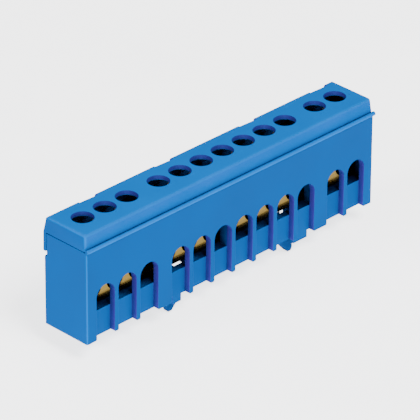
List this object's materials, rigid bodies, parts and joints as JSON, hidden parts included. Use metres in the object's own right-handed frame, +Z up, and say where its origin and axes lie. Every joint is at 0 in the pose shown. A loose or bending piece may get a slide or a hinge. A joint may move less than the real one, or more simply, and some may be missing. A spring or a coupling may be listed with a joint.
{
  "type": "neutral terminal block",
  "caption": "Insulated rail-mounted neutral bar: blue snap-lid housing with arched wire entries, a brass bar inside and clamping screws reached through holes in the lid.",
  "frame": {"origin": "middle of the rail clip, in the plane where the mounting rail's face bears on the base's bottom edges", "axes": "+X along the bar towards the group of two terminals, -Y is the side the wires enter, +Z up through the lid"},
  "size_m": [0.0885, 0.014, 0.0315],
  "materials": {
    "blue_plastic": "satin gloss as moulded, slightly translucent where thin",
    "brass": "extruded and machined, bright",
    "plated_steel": "zinc plated"
  },
  "bodies": {
    "housing": {"base": "blue_plastic", "terminal_bar": "brass"},
    "lid": {"lid": "blue_plastic"},
    "screw_01": {"screw_01": "plated_steel"},
    "screw_02": {"screw_02": "plated_steel"},
    "screw_03": {"screw_03": "plated_steel"},
    "screw_04": {"screw_04": "plated_steel"},
    "screw_05": {"screw_05": "plated_steel"},
    "screw_06": {"screw_06": "plated_steel"},
    "screw_07": {"screw_07": "plated_steel"},
    "screw_08": {"screw_08": "plated_steel"},
    "screw_09": {"screw_09": "plated_steel"},
    "screw_10": {"screw_10": "plated_steel"},
    "screw_11": {"screw_11": "plated_steel"},
    "screw_12": {"screw_12": "plated_steel"}
  },
  "joints": [
    {"name": "lid_hinge", "type": "hinge", "parent": "housing", "child": "lid", "pos_m": [-0.00295, -0.00655, 0.0228], "axis": [1, 0, 0], "range_deg": [0, 180]},
    {"name": "screw_01_travel", "type": "slide", "parent": "housing", "child": "screw_01", "axis": [0, 0, 1], "range_m": [-0.0041, 0]},
    {"name": "screw_02_travel", "type": "slide", "parent": "housing", "child": "screw_02", "axis": [0, 0, 1], "range_m": [-0.0041, 0]},
    {"name": "screw_03_travel", "type": "slide", "parent": "housing", "child": "screw_03", "axis": [0, 0, 1], "range_m": [-0.0041, 0]},
    {"name": "screw_04_travel", "type": "slide", "parent": "housing", "child": "screw_04", "axis": [0, 0, 1], "range_m": [-0.0041, 0]},
    {"name": "screw_05_travel", "type": "slide", "parent": "housing", "child": "screw_05", "axis": [0, 0, 1], "range_m": [-0.0041, 0]},
    {"name": "screw_06_travel", "type": "slide", "parent": "housing", "child": "screw_06", "axis": [0, 0, 1], "range_m": [-0.0041, 0]},
    {"name": "screw_07_travel", "type": "slide", "parent": "housing", "child": "screw_07", "axis": [0, 0, 1], "range_m": [-0.0041, 0]},
    {"name": "screw_08_travel", "type": "slide", "parent": "housing", "child": "screw_08", "axis": [0, 0, 1], "range_m": [-0.0041, 0]},
    {"name": "screw_09_travel", "type": "slide", "parent": "housing", "child": "screw_09", "axis": [0, 0, 1], "range_m": [-0.0041, 0]},
    {"name": "screw_10_travel", "type": "slide", "parent": "housing", "child": "screw_10", "axis": [0, 0, 1], "range_m": [-0.0041, 0]},
    {"name": "screw_11_travel", "type": "slide", "parent": "housing", "child": "screw_11", "axis": [0, 0, 1], "range_m": [-0.0041, 0]},
    {"name": "screw_12_travel", "type": "slide", "parent": "housing", "child": "screw_12", "axis": [0, 0, 1], "range_m": [-0.0041, 0]}
  ]
}
